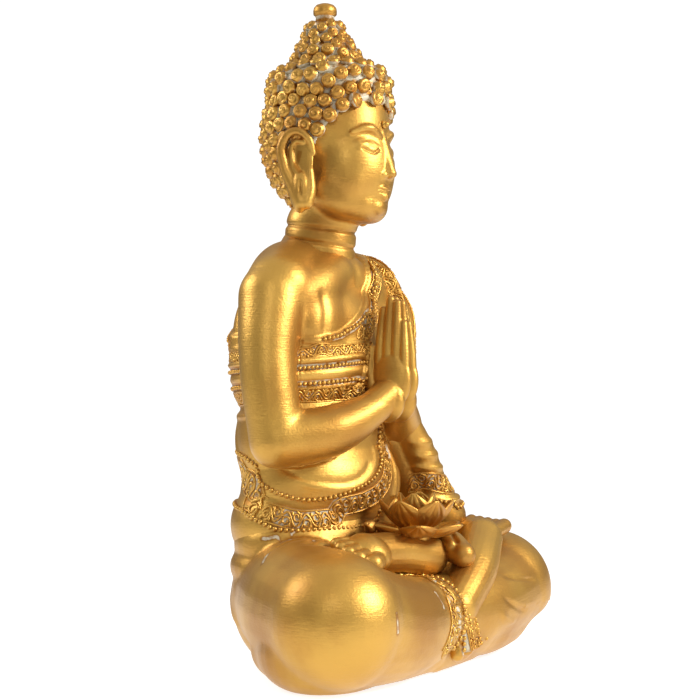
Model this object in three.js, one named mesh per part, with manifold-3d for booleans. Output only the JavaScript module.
// A seated figure in the lotus position with its palms together, as a painted resin statue.
// It is an assembly of hollow and solid castings, glued together with a thin joint between them.
// Millimetres. +Z is up, -Y is the way the figure faces, and +X is the figure's left.
// The origin is the middle of the flat face that the statue stands on.
import * as THREE from "three";
import { mergeVertices } from "three/addons/utils/BufferGeometryUtils.js";
import Module from "manifold-3d";

// Driving dimensions.
const FELT_THICKNESS = 1.5;
const PLATE_THICKNESS = 3;
const WALL = 4.5; // of the hollow castings
const GLUE_GAP = 0.3; // between one casting and the next

const KNEE_SPREAD = 74; // from the middle plane to each knee's centre
const KNEE_FORWARD = 31;
const KNEE_RADIUS = 27.5;
const HIP_HALF_WIDTH = 50;
const HIP_HALF_DEPTH = 31;
const CORNER_RADIUS = 13; // of the footprint on the ground
const LAP_HEIGHT = 58; // from the ground to where the belly leaves the lap

const TORSO_HEIGHT = 124; // from the lap to the collar
const CHEST_HALF_WIDTH = 45;
const CHEST_HALF_DEPTH = 29.5;
const BELLY_HALF_WIDTH = 43;
const BELLY_HALF_DEPTH = 31;
const SHOULDER_RADIUS = 16;
const NECK_RADIUS = 15.5;
const NECK_HEIGHT = 16; // from the collar to the chin

const HEAD_HEIGHT = 78; // from the chin to the crown
const HEAD_HALF_WIDTH = 24.5;
const HAIR_THICKNESS = 4.2;
const USHNISHA_RADIUS = 17;
const USHNISHA_HEIGHT = 18;
const FINIAL_RADIUS = 5.5;
const FINIAL_HEIGHT = 6;

const ELBOW_RADIUS = 12;
const WRIST_RADIUS = 8.5;
const HAND_LENGTH = 49;
const PALM_HALF_WIDTH = 10.5;
const HAND_THICKNESS = 7;
const SHIN_RADIUS = 18; // where the robe ends round it
const ANKLE_RADIUS = 10;
const BAND_THICKNESS = 1.2; // of the ornament strips on the robe
const FAN_THICKNESS = 3;
const PETAL_LENGTH = 17;
const PETAL_HALF_WIDTH = 6.5;
const PETAL_THICKNESS = 1.4;
const CUP_RADIUS = 6;

const ROUND = 16; // sides of the large round shapes
const LIMB_ROUND = 12;
const HOLLOW_ROUND = 8; // and of the hollows inside the castings
const SMALL_ROUND = 6;
const OUTLINE_STEPS = 12;

// Heights and places that follow from them.
const LAP_BOTTOM = FELT_THICKNESS + GLUE_GAP;
const TORSO_BOTTOM = LAP_HEIGHT - 12;
const COLLAR = LAP_HEIGHT + TORSO_HEIGHT;
const CHIN = COLLAR + NECK_HEIGHT;
const CROWN = CHIN + HEAD_HEIGHT;
const HAIR_TOP = CROWN + USHNISHA_HEIGHT;
const BODY_Y = 24; // the torso's axis, behind the origin
const SHOULDER_Z = COLLAR - 19;
const SHOULDER_X = CHEST_HALF_WIDTH - 4;
const ELBOW = [CHEST_HALF_WIDTH + 4, BODY_Y - 14, LAP_HEIGHT + 41];
const HAND_Y = BODY_Y - CHEST_HALF_DEPTH - 2.5 - PALM_HALF_WIDTH;
const WRIST = [HAND_THICKNESS + 1.5, HAND_Y, LAP_HEIGHT + 57];
const SPIGOT_RADIUS = NECK_RADIUS - WALL - GLUE_GAP;
const KNEE = [KNEE_SPREAD, -KNEE_FORWARD, KNEE_RADIUS + 1];
const SHIN_Z = SHIN_RADIUS + 4.5;
const HEAD_Y = BODY_Y - 8; // the skull's axis, ahead of the torso's

const wasm = await Module();
wasm.setup();

// A three.js geometry as a manifold-3d solid.
function solid(geometry) {
  const plain = geometry.clone();
  plain.deleteAttribute("normal");
  plain.deleteAttribute("uv");
  const merged = mergeVertices(plain, 1e-4);
  return new wasm.Manifold(
    new wasm.Mesh({
      numProp: 3,
      vertProperties: merged.attributes.position.array,
      triVerts: new Uint32Array(merged.index.array),
    }),
  );
}

function union(...shapes) {
  return shapes.reduce((whole, shape) => whole.add(shape));
}

// The largest piece of a cut solid: what a cut leaves as crumbs is dropped.
function largest(shape) {
  return shape.decompose().reduce((a, b) => (b.volume() > a.volume() ? b : a));
}

function placed(geometry, centre, turn = [0, 0, 0]) {
  const [x, y, z] = turn.map(THREE.MathUtils.degToRad);
  const matrix = new THREE.Matrix4().makeRotationFromEuler(new THREE.Euler(x, y, z));
  matrix.setPosition(...centre);
  return geometry.applyMatrix4(matrix);
}

function ellipsoid(centre, radii, turn, sides = ROUND) {
  const ball = new THREE.SphereGeometry(1, sides, Math.round(sides * 0.6));
  ball.rotateX(Math.PI / 2);
  ball.scale(...radii);
  return solid(placed(ball, centre, turn));
}

function box(low, high) {
  const size = high.map((value, i) => value - low[i]);
  const centre = high.map((value, i) => (value + low[i]) / 2);
  return solid(placed(new THREE.BoxGeometry(...size), centre));
}

function cylinder(centre, radius, height, sides = ROUND) {
  const upright = new THREE.CylinderGeometry(radius, radius, height, sides).rotateX(Math.PI / 2);
  return solid(placed(upright, centre));
}

// A limb between two ball ends of different radius, turned from one closed profile.
function limb(start, end, startRadius, endRadius, sides = LIMB_ROUND) {
  const a = new THREE.Vector3(...start);
  const b = new THREE.Vector3(...end);
  const length = a.distanceTo(b);
  const tangent = Math.asin((startRadius - endRadius) / length);
  const steps = Math.round(sides / 4);
  const profile = [];
  for (let i = 0; i <= steps; i++) {
    const angle = THREE.MathUtils.lerp(-Math.PI / 2, tangent, i / steps);
    profile.push([startRadius * Math.cos(angle), startRadius * Math.sin(angle)]);
  }
  for (let i = 0; i <= steps; i++) {
    const angle = THREE.MathUtils.lerp(tangent, Math.PI / 2, i / steps);
    profile.push([endRadius * Math.cos(angle), length + endRadius * Math.sin(angle)]);
  }
  const points = profile.map(([r, h], i) => {
    const onAxis = i === 0 || i === profile.length - 1;
    return new THREE.Vector2(onAxis ? 0 : r, h);
  });
  const shape = new THREE.LatheGeometry(points, sides);
  const turn = new THREE.Quaternion().setFromUnitVectors(
    new THREE.Vector3(0, 1, 0),
    b.clone().sub(a).normalize(),
  );
  shape.applyQuaternion(turn).translate(...start);
  return solid(shape);
}

// Beyond the whole figure: the reach of the shapes that only cut.
const FAR = 400;

function above(z) {
  return box([-FAR, -FAR, z], [FAR, FAR, FAR]);
}

function below(z) {
  return box([-FAR, -FAR, -FAR], [FAR, FAR, z]);
}

// A slab through a point, tilted about X and Y, for cutting bands out of a skin.
function slab(centre, thickness, turn) {
  return solid(placed(new THREE.BoxGeometry(2 * FAR, 2 * FAR, thickness), centre, turn));
}

// The ground under the legs, with rounded corners below the knees and the hips.
function footprint(grow, low, high) {
  const corners = [
    [KNEE_SPREAD - 14, KNEE[1] + 3, -90, 35],
    [HIP_HALF_WIDTH - 27, BODY_Y + 2, 35, 90],
    [27 - HIP_HALF_WIDTH, BODY_Y + 2, 90, 145],
    [14 - KNEE_SPREAD, KNEE[1] + 3, 145, 270],
  ];
  const shape = new THREE.Shape();
  for (const [x, y, start, end] of corners) {
    const [from, to] = [start, end].map(THREE.MathUtils.degToRad);
    shape.absarc(x, y, CORNER_RADIUS + grow, from, to, false);
  }
  const sheet = new THREE.ExtrudeGeometry(shape, {
    depth: high - low,
    bevelEnabled: false,
    curveSegments: 3,
  });
  return solid(sheet.translate(0, 0, low));
}

// The crossed legs: hips, thighs, shins and the robe stretched over the lap.
// Grow widens or narrows every radius.
function legs(grow = 0, sides = LIMB_ROUND) {
  const pairs = [1, -1].map((side) => {
    const knee = [side * KNEE[0], KNEE[1], KNEE[2]];
    const hip = [side * (HIP_HALF_WIDTH - 23), BODY_Y - 7, LAP_HEIGHT * 0.52];
    const shin = [side * 6, KNEE[1] - 5, SHIN_Z];
    return union(
      limb(hip, knee, KNEE_RADIUS + grow, KNEE_RADIUS + grow, sides),
      limb(knee, shin, KNEE_RADIUS - 0.5 + grow, SHIN_RADIUS + grow, sides),
    );
  });
  const hips = ellipsoid(
    [0, BODY_Y, LAP_HEIGHT * 0.52],
    [HIP_HALF_WIDTH + grow, HIP_HALF_DEPTH + grow, LAP_HEIGHT * 0.64 + grow],
    undefined,
    sides,
  );
  const lap = ellipsoid(
    [0, KNEE[1] + 25, LAP_HEIGHT * 0.33],
    [KNEE_SPREAD * 0.82 + grow, 40 + grow, LAP_HEIGHT * 0.47 + grow],
    undefined,
    sides,
  );
  const ground = footprint(grow, LAP_BOTTOM - WALL, LAP_BOTTOM + WALL * 2 + grow);
  return union(hips, lap, ground, ...pairs);
}

// Half the torso's width at heights above the lap, from the belly to the collar.
const TORSO_OUTLINE = [
  [BELLY_HALF_WIDTH - 7, -20],
  [BELLY_HALF_WIDTH, 10],
  [BELLY_HALF_WIDTH - 2, 38],
  [CHEST_HALF_WIDTH, TORSO_HEIGHT - 54],
  [CHEST_HALF_WIDTH + 3, TORSO_HEIGHT - 28],
  [CHEST_HALF_WIDTH - 4, TORSO_HEIGHT - 12],
  [NECK_RADIUS + 8, TORSO_HEIGHT - 4],
  [NECK_RADIUS, TORSO_HEIGHT + 8],
];

// Belly, chest and shoulders: one turned outline, flattened from front to back.
function torso(grow = 0, sides = ROUND) {
  const outline = new THREE.SplineCurve(
    TORSO_OUTLINE.map(([halfWidth, height]) => new THREE.Vector2(halfWidth, height)),
  );
  const points = outline.getPoints(OUTLINE_STEPS).map((p) => new THREE.Vector2(p.x + grow, p.y));
  const lowest = new THREE.Vector2(0, points[0].y);
  const highest = new THREE.Vector2(0, points[points.length - 1].y + grow);
  const body = new THREE.LatheGeometry([lowest, ...points, highest], sides).rotateX(Math.PI / 2);
  body.scale(1, CHEST_HALF_DEPTH / CHEST_HALF_WIDTH, 1);
  const neckFoot = limb(
    [0, BODY_Y, COLLAR - 16],
    [0, BODY_Y - 2, COLLAR + 3],
    NECK_RADIUS + 8 + grow,
    NECK_RADIUS + 0.5 + grow,
    sides,
  );
  const belly = ellipsoid(
    [0, BODY_Y - 1, LAP_HEIGHT + 14],
    [BELLY_HALF_WIDTH - 4 + grow, BELLY_HALF_DEPTH + grow, 36 + grow],
    undefined,
    sides,
  );
  const slopes = [1, -1].map((side) =>
    limb(
      [side * 4, BODY_Y + 2, COLLAR - 7],
      [side * (SHOULDER_X - 6), BODY_Y - 3, SHOULDER_Z + 2],
      NECK_RADIUS + 1 + grow,
      SHOULDER_RADIUS + grow,
      sides,
    ),
  );
  return union(solid(placed(body, [0, BODY_Y + 2.5, LAP_HEIGHT])), neckFoot, belly, ...slopes);
}

function upperArm(side, grow = 0) {
  const shoulder = [side * SHOULDER_X, BODY_Y - 6, SHOULDER_Z];
  const elbow = [side * ELBOW[0], ELBOW[1], ELBOW[2]];
  return limb(shoulder, elbow, SHOULDER_RADIUS + grow, ELBOW_RADIUS + grow);
}

function forearm(side, grow = 0) {
  const elbow = [side * ELBOW[0], ELBOW[1], ELBOW[2]];
  const wrist = [side * WRIST[0], WRIST[1], WRIST[2]];
  return limb(elbow, wrist, ELBOW_RADIUS + grow, WRIST_RADIUS + grow);
}

// One hand of the pressed pair, upright, with its little-finger edge to the front.
function hand(side, grow = 0) {
  const thick = HAND_THICKNESS / 2;
  const x = side * (thick + GLUE_GAP / 2);
  const low = WRIST[2];
  const palmZ = low + HAND_LENGTH * 0.27;
  const palm = ellipsoid(
    [x, HAND_Y, palmZ],
    [thick + grow, PALM_HALF_WIDTH + grow, HAND_LENGTH * 0.34 + grow],
    undefined,
    16,
  );
  const fingers = [-1.5, -0.5, 0.5, 1.5].map((place, i) => {
    const y = HAND_Y + place * PALM_HALF_WIDTH * 0.47;
    const reach = [0.9, 0.97, 1, 0.93][i];
    return limb(
      [x, y, palmZ],
      [x, HAND_Y + place * PALM_HALF_WIDTH * 0.36, low + HAND_LENGTH * reach - 2.6],
      2.9 + grow,
      2.4 + grow,
      SMALL_ROUND,
    );
  });
  const thumb = limb(
    [x, HAND_Y + PALM_HALF_WIDTH * 0.7, palmZ - 4],
    [x, HAND_Y + PALM_HALF_WIDTH + 1.4, palmZ + 14],
    3.6 + grow,
    2.6 + grow,
    SMALL_ROUND,
  );
  const half =
    side > 0
      ? box([GLUE_GAP / 2 - grow, -FAR, 0], [FAR, FAR, FAR])
      : box([-FAR, -FAR, 0], [grow - GLUE_GAP / 2, FAR, FAR]);
  return union(palm, ...fingers, thumb).intersect(half);
}

// The skull, jaw and neck.
function head(grow = 0) {
  const skullZ = CHIN + HEAD_HEIGHT * 0.54;
  return union(
    ellipsoid(
      [0, HEAD_Y, skullZ],
      [HEAD_HALF_WIDTH + grow, HEAD_HALF_WIDTH * 1.16 + grow, HEAD_HEIGHT * 0.43 + grow],
    ),
    ellipsoid(
      [0, HEAD_Y - 7, CHIN + 21],
      [HEAD_HALF_WIDTH * 0.86 + grow, HEAD_HALF_WIDTH * 0.86 + grow, 21 + grow],
    ),
    limb(
      [0, BODY_Y - 2, COLLAR - NECK_RADIUS],
      [0, HEAD_Y + 4, CHIN + 12],
      NECK_RADIUS + grow,
      NECK_RADIUS - 1 + grow,
    ),
  );
}

// The hair over the skull with the raised crown. The face and throat are cut away from it.
function hair(grow = 0) {
  const skullZ = CHIN + HEAD_HEIGHT * 0.52;
  const cap = ellipsoid(
    [0, HEAD_Y, skullZ],
    [
      HEAD_HALF_WIDTH + HAIR_THICKNESS + grow,
      HEAD_HALF_WIDTH * 1.16 + HAIR_THICKNESS + 1 + grow,
      HEAD_HEIGHT * 0.5 + grow,
    ],
  );
  const bun = limb(
    [0, HEAD_Y + 2, CROWN - 8],
    [0, HEAD_Y + 3, HAIR_TOP - 6],
    USHNISHA_RADIUS + grow,
    6 + grow,
  );
  const hairline = new THREE.Vector2(HEAD_Y - 31, CHIN + 56);
  const nape = new THREE.Vector2(HEAD_Y + 27, CHIN + 5);
  const slope = nape.clone().sub(hairline);
  const inwards = new THREE.Vector2(slope.y, -slope.x).normalize().multiplyScalar(FAR / 2);
  const middle = hairline.clone().add(nape).multiplyScalar(0.5).add(inwards);
  const tilt = THREE.MathUtils.radToDeg(slope.angle());
  const faceCut = slab([0, middle.x, middle.y], FAR, [tilt, 0, 0]);
  return union(cap, bun).subtract(faceCut).intersect(above(CHIN - 3));
}

function ear(side, grow = 0) {
  const x = side * (HEAD_HALF_WIDTH + 3.2);
  const y = HEAD_Y + 1;
  return union(
    ellipsoid([x, y, CHIN + 28], [3 + grow, 7 + grow, 10.5 + grow], [-8, 0, 0], 16),
    limb(
      [x, y - 0.5, CHIN + 20],
      [side * (HEAD_HALF_WIDTH + 1.2), y - 3, CHIN + 3],
      3 + grow,
      3.6 + grow,
      SMALL_ROUND,
    ),
  );
}

// A bare foot: heel, sole and five toes. Its toes point along toeSide.
function foot(heel, ball, toeSide, grow = 0) {
  const across = new THREE.Vector3(...ball).sub(new THREE.Vector3(...heel)).normalize();
  const up = new THREE.Vector3(...toeSide).normalize();
  const toes = [0, 1, 2, 3, 4].map((i) => {
    const start = new THREE.Vector3(...ball).addScaledVector(up, (i - 2) * 3.5);
    const end = start.clone().addScaledVector(across, 9 - i * 0.7);
    const radius = i === 0 ? 3.4 : 2.5;
    return limb(start.toArray(), end.toArray(), radius + grow, radius + grow, SMALL_ROUND);
  });
  return union(limb(heel, ball, ANKLE_RADIUS + grow, ANKLE_RADIUS - 1.5 + grow), ...toes);
}

const LEFT_FOOT = {
  heel: [2, KNEE[1] + 8, LAP_HEIGHT - 11],
  ball: [-32, KNEE[1] + 14, LAP_HEIGHT - 8],
  toeSide: [0.1, 0.75, 0.55],
};
const RIGHT_FOOT = {
  heel: [8, KNEE[1] - 14, LAP_HEIGHT - 30],
  ball: [53, KNEE[1] - 2, LAP_HEIGHT - 3],
  toeSide: [-0.35, 0.75, 0.35],
};

function leftFoot(grow = 0) {
  return foot(LEFT_FOOT.heel, LEFT_FOOT.ball, LEFT_FOOT.toeSide, grow);
}

function rightFoot(grow = 0) {
  return foot(RIGHT_FOOT.heel, RIGHT_FOOT.ball, RIGHT_FOOT.toeSide, grow);
}

// The sleeve that falls from the left forearm on to the left thigh.
function sleeve(grow = 0) {
  return union(
    limb([26, HAND_Y + 6, WRIST[2] - 14], [52, KNEE[1] + 24, LAP_HEIGHT + 3], 8 + grow, 11 + grow),
    limb([40, BODY_Y - 8, ELBOW[2] - 2], [56, BODY_Y - 14, LAP_HEIGHT + 1], 10 + grow, 13 + grow),
    limb([26, HAND_Y + 6, WRIST[2] - 14], [56, BODY_Y - 14, LAP_HEIGHT + 1], 7 + grow, 9 + grow),
  );
}

// The folded end of the robe over the left shoulder, thicker than the arm and neck it covers.
function shoulderFold(grow = 0) {
  const cover = SHOULDER_RADIUS + 3.5 + grow;
  return union(
    limb(
      [SHOULDER_X - 18, BODY_Y - 1, SHOULDER_Z + 6],
      [SHOULDER_X - 1, BODY_Y - 4, SHOULDER_Z + 1],
      cover,
      cover,
    ),
    limb(
      [SHOULDER_X - 10, BODY_Y - 12, SHOULDER_Z + 2],
      [SHOULDER_X - 6, BODY_Y - 19, SHOULDER_Z - 22],
      12 + grow,
      9 + grow,
    ),
  );
}

// One ornament strip: the skin just outside the torso, between two parallel cuts.
function band({ centre, height, turn }) {
  return torso(GLUE_GAP + BAND_THICKNESS)
    .subtract(torso(GLUE_GAP))
    .intersect(slab(centre, height, turn));
}

// The smooth knob that ends the raised crown.
const FINIAL_BOTTOM = HAIR_TOP - 2;

function finial() {
  const height = HAIR_TOP + FINIAL_HEIGHT - FINIAL_BOTTOM - GLUE_GAP;
  const profile = [
    [0, 0],
    [FINIAL_RADIUS * 0.75, 0],
    [FINIAL_RADIUS * 0.75, height * 0.35],
    [FINIAL_RADIUS, height * 0.5],
    [FINIAL_RADIUS, height * 0.7],
    [FINIAL_RADIUS * 0.6, height * 0.93],
    [0, height],
  ].map(([r, h]) => new THREE.Vector2(r, h));
  const turned = new THREE.LatheGeometry(profile, LIMB_ROUND).rotateX(Math.PI / 2);
  return solid(placed(turned, [0, HEAD_Y + 3, FINIAL_BOTTOM + GLUE_GAP]));
}

function foreheadBead() {
  const brow = [0, HEAD_Y - HEAD_HALF_WIDTH * 1.16, CHIN + 43];
  return ellipsoid(brow, [1.4, 1.6, 1.4], undefined, 8);
}

// The patterned hem where the robe ends round the right shin.
function shinHem(grow = 0) {
  const end = [-6, KNEE[1] - 5, SHIN_Z];
  const knee = [-KNEE[0], KNEE[1], KNEE[2]];
  const skin = GLUE_GAP + BAND_THICKNESS + grow;
  const sleeve = limb(knee, end, KNEE_RADIUS - 0.5 + skin, SHIN_RADIUS + skin);
  return sleeve.intersect(box([-17 - grow, -FAR, LAP_BOTTOM], [-4 + grow, FAR, FAR]));
}

// Cloth gathered between the shins, spreading over them to a fan on the ground.
function frontFan() {
  const shape = new THREE.Shape();
  shape.moveTo(-7, 0);
  shape.lineTo(24, 0);
  shape.quadraticCurveTo(12, 12, 9, 34);
  shape.lineTo(-1, 34);
  shape.quadraticCurveTo(-2, 12, -7, 0);
  const outline = new THREE.ExtrudeGeometry(shape, {
    depth: KNEE_RADIUS * 2,
    bevelEnabled: false,
    curveSegments: 4,
  });
  outline.rotateX(Math.PI / 2);
  const front = solid(placed(outline, [0, KNEE[1] - 4, LAP_BOTTOM]));
  return legs(GLUE_GAP + FAN_THICKNESS).intersect(front);
}

const LOTUS = [0, KNEE[1] + 3, LAP_HEIGHT + 1];
const CUP_HEIGHT = 4;

// The flower's three rings of petals, from the spread outer ring to the steep inner one.
const RINGS = [
  { name: "outer", count: 6, lean: 8, start: CUP_RADIUS + 0.4, raise: -1.5, share: 1, turn: 0 },
  { name: "middle", count: 6, lean: 34, start: CUP_RADIUS - 0.6, raise: 2.5, share: 0.9, turn: 0.5 },
  { name: "inner", count: 4, lean: 60, start: CUP_RADIUS - 2.4, raise: 5, share: 0.72, turn: 0.2 },
];

// A thin pointed petal that rises outwards from the flower's middle.
function petal(ring, place, grow = 0) {
  const length = PETAL_LENGTH * ring.share + grow;
  const width = (PETAL_HALF_WIDTH * ring.share + grow) * 1.3;
  const thickness = PETAL_THICKNESS + 2 * grow;
  const shape = new THREE.Shape();
  shape.moveTo(0, -grow);
  shape.bezierCurveTo(width, length * 0.15, width, length * 0.7, 0, length);
  shape.bezierCurveTo(-width, length * 0.7, -width, length * 0.15, 0, -grow);
  const blade = new THREE.ExtrudeGeometry(shape, {
    depth: thickness,
    bevelEnabled: false,
    curveSegments: 4,
  });
  blade.translate(0, 0, -thickness / 2);
  blade.rotateX(THREE.MathUtils.degToRad(ring.lean));
  blade.translate(0, ring.start, ring.raise);
  blade.rotateZ(((place + ring.turn) / ring.count) * 2 * Math.PI);
  return solid(blade.translate(...LOTUS));
}

function lotusCup(grow = 0) {
  const bowl = [
    [0, -CUP_HEIGHT * 1.5 - grow],
    [CUP_RADIUS * 0.8 + grow, -CUP_HEIGHT - grow],
    [CUP_RADIUS + grow, 0],
    [CUP_RADIUS - 0.5 + grow, 1.2 + grow],
    [0, 1.2 + grow],
  ].map(([r, h]) => new THREE.Vector2(r, h));
  const turned = new THREE.LatheGeometry(bowl, LIMB_ROUND).rotateX(Math.PI / 2);
  return solid(placed(turned, LOTUS));
}

function lotusPod(grow = 0) {
  const foot = 1.2 + GLUE_GAP;
  return limb(
    [LOTUS[0], LOTUS[1], LOTUS[2] + foot],
    [LOTUS[0], LOTUS[1], LOTUS[2] + 7],
    2.6 + grow,
    3.4 + grow,
    SMALL_ROUND,
  ).intersect(above(LOTUS[2] + foot - grow));
}

// A rolled leaf and a closed bud below the flower, on the left ankle.
function lotusLeaf(grow = 0) {
  return limb(
    [14, KNEE[1] - 14, LAP_HEIGHT - 9],
    [24, KNEE[1] + 2, LAP_HEIGHT - 5],
    7 + grow,
    6 + grow,
    8,
  );
}

function lotusBud(grow = 0) {
  return limb(
    [-16, KNEE[1] + 16, LAP_HEIGHT + 3],
    [-21, KNEE[1] + 15, LAP_HEIGHT + 5],
    3 + grow,
    2 + grow,
    SMALL_ROUND,
  );
}

// The bands' heights and tilts.
const CHEST_HEM = { centre: [-8, BODY_Y, COLLAR - 24], height: 9, turn: [0, -36, 0] };
const UPPER_BAND = { centre: [0, BODY_Y, LAP_HEIGHT + 62], height: 9, turn: [4, -3, 0] };
const LOWER_BAND = { centre: [0, BODY_Y, LAP_HEIGHT + 48], height: 11, turn: [4, -3, 0] };
const ROBE_HEM = { centre: [0, BODY_Y, LAP_HEIGHT + 22], height: 12, turn: [0, -16, 0] };

const gold = new THREE.MeshStandardMaterial({ color: 0xc8963c, roughness: 0.38, metalness: 0.85 });
const gilt = new THREE.MeshStandardMaterial({ color: 0xd9ac55, roughness: 0.45, metalness: 0.7 });
const felt = new THREE.MeshStandardMaterial({ color: 0x2c2a28, roughness: 0.95, metalness: 0 });
const board = new THREE.MeshStandardMaterial({ color: 0xb9b0a0, roughness: 0.8, metalness: 0 });

const statue = new THREE.Group();

function addNode(name, shape, material) {
  const { numProp, vertProperties, triVerts } = largest(shape).getMesh();
  const geometry = new THREE.BufferGeometry();
  if (numProp !== 3) throw new Error(name + " carries more than positions");
  geometry.setAttribute("position", new THREE.BufferAttribute(vertProperties, 3));
  geometry.setIndex(new THREE.BufferAttribute(triVerts, 1));
  const mesh = new THREE.Mesh(geometry, material);
  mesh.name = name;
  statue.add(mesh);
}

// Underside: felt over a closing plate that is let into the hollow.
addNode("felt_base", footprint(-6, 0, FELT_THICKNESS), felt);
const plateRange = above(LAP_BOTTOM).intersect(below(LAP_BOTTOM + PLATE_THICKNESS));
addNode("base_plate", legs(-WALL - GLUE_GAP, HOLLOW_ROUND).intersect(plateRange), board);

// Legs: a hollow casting with a socket for the belly and rests for both feet.
const bellySocket = torso(GLUE_GAP).intersect(above(TORSO_BOTTOM - GLUE_GAP));
const feet = union(leftFoot(GLUE_GAP), rightFoot(GLUE_GAP));
const lapShell = legs().intersect(above(LAP_BOTTOM)).subtract(legs(-WALL, HOLLOW_ROUND));
addNode("lap_shell", lapShell.subtract(bellySocket).subtract(feet), gold);
addNode("left_foot", leftFoot(), gold);
addNode("right_foot", rightFoot(), gold);

// Torso: a hollow casting, open below and bored for the head's spigot.
const torsoRange = above(TORSO_BOTTOM).intersect(below(COLLAR));
const torsoHollow = torso(-WALL, HOLLOW_ROUND).subtract(above(COLLAR - NECK_RADIUS));
const spigotBore = cylinder([0, BODY_Y - 2, COLLAR - 10], SPIGOT_RADIUS + GLUE_GAP, 30, LIMB_ROUND);
const torsoShell = torso().intersect(torsoRange).subtract(torsoHollow).subtract(spigotBore);
addNode("torso_shell", torsoShell, gold);

// Arms, cut to fit the torso, and the pressed hands on their wrists.
const hands = union(hand(1, GLUE_GAP), hand(-1, GLUE_GAP));
for (const [name, side] of [["right", -1], ["left", 1]]) {
  const upper = upperArm(side).subtract(torso(GLUE_GAP));
  const fore = forearm(side).subtract(torso(GLUE_GAP)).subtract(upperArm(side, GLUE_GAP));
  addNode(`${name}_upper_arm`, upper, gold);
  addNode(`${name}_forearm`, fore.subtract(hands), gold);
}
addNode("right_hand", hand(-1).subtract(torso(GLUE_GAP)), gold);
addNode("left_hand", hand(1).subtract(torso(GLUE_GAP)), gold);

// Head, with a tube below the neck that seats in the torso's bore.
const spigot = cylinder([0, BODY_Y - 2, COLLAR - 5], SPIGOT_RADIUS, 14, LIMB_ROUND);
const headHollow = union(
  head(-WALL),
  cylinder([0, BODY_Y - 2, COLLAR], SPIGOT_RADIUS - WALL + 1, 30, HOLLOW_ROUND),
);
const headShell = union(head().intersect(above(COLLAR + GLUE_GAP)), spigot).subtract(headHollow);
addNode("head_shell", headShell, gold);
const ears = union(ear(1, GLUE_GAP), ear(-1, GLUE_GAP));
const hairCap = hair().subtract(head(GLUE_GAP)).subtract(ears).subtract(above(FINIAL_BOTTOM));
addNode("hair_cap", hairCap, gilt);
addNode("right_ear", ear(-1).subtract(head(GLUE_GAP)), gold);
addNode("left_ear", ear(1).subtract(head(GLUE_GAP)), gold);
addNode("finial", finial(), gold);
addNode("forehead_bead", foreheadBead().subtract(head(GLUE_GAP)), gold);

// Robe: ornament strips laid round the torso, the shoulder fold and the sleeve.
const arms = union(
  upperArm(1, GLUE_GAP),
  upperArm(-1, GLUE_GAP),
  forearm(1, GLUE_GAP),
  forearm(-1, GLUE_GAP),
);
const clearOfBody = union(arms, hands, legs(GLUE_GAP));
const front = box([-FAR, -FAR, -FAR], [FAR, BODY_Y, FAR]);
const back = box([-FAR, BODY_Y + GLUE_GAP, -FAR], [FAR, FAR, FAR]);
const fold = shoulderFold(GLUE_GAP);
const headEnd = union(head(GLUE_GAP), hair(GLUE_GAP), ears);
const chestHem = band(CHEST_HEM).subtract(clearOfBody).subtract(fold).subtract(headEnd);
addNode("chest_hem_front", chestHem.intersect(front), gilt);
addNode("chest_hem_back", chestHem.intersect(back), gilt);
addNode("upper_belly_band", band(UPPER_BAND).subtract(clearOfBody).intersect(front), gilt);
addNode("lower_belly_band", band(LOWER_BAND).subtract(clearOfBody).intersect(front), gilt);
const robeSkin = torso(GLUE_GAP * 2 + BAND_THICKNESS);
const sleeveCut = sleeve().subtract(robeSkin).subtract(clearOfBody);
addNode("left_sleeve", sleeveCut.subtract(feet), gold);
addNode("robe_hem", band(ROBE_HEM).subtract(clearOfBody).subtract(sleeve(GLUE_GAP)), gilt);
const foldCut = shoulderFold().subtract(robeSkin).subtract(clearOfBody).subtract(headEnd);
addNode("shoulder_fold", foldCut, gilt);

// Legs' ornament: the hem round the right shin and the cloth fan on the ground.
addNode("shin_hem", shinHem().subtract(legs(GLUE_GAP)).subtract(feet), gilt);
const fanCut = frontFan().subtract(legs(GLUE_GAP)).subtract(feet).subtract(shinHem(GLUE_GAP));
addNode("front_fan", fanCut, gilt);

// Lotus flower on the ankles, with a leaf and a bud.
const clearOfLotus = union(feet, legs(GLUE_GAP), robeSkin, hands, arms, sleeve(GLUE_GAP));
addNode("lotus_cup", lotusCup().subtract(clearOfLotus), gold);
addNode("lotus_pod", lotusPod(), gold);
let placedPetals = union(lotusCup(GLUE_GAP), lotusPod(GLUE_GAP));
for (const ring of RINGS) {
  for (let place = 0; place < ring.count; place++) {
    const cut = petal(ring, place).subtract(placedPetals).subtract(clearOfLotus);
    addNode(`${ring.name}_petal_${place + 1}`, cut, gilt);
    placedPetals = placedPetals.add(petal(ring, place, GLUE_GAP));
  }
}
addNode("lotus_leaf", lotusLeaf().subtract(placedPetals).subtract(clearOfLotus), gold);
addNode("lotus_bud", lotusBud().subtract(placedPetals).subtract(clearOfLotus), gold);

statue.updateMatrixWorld(true);
export default statue;
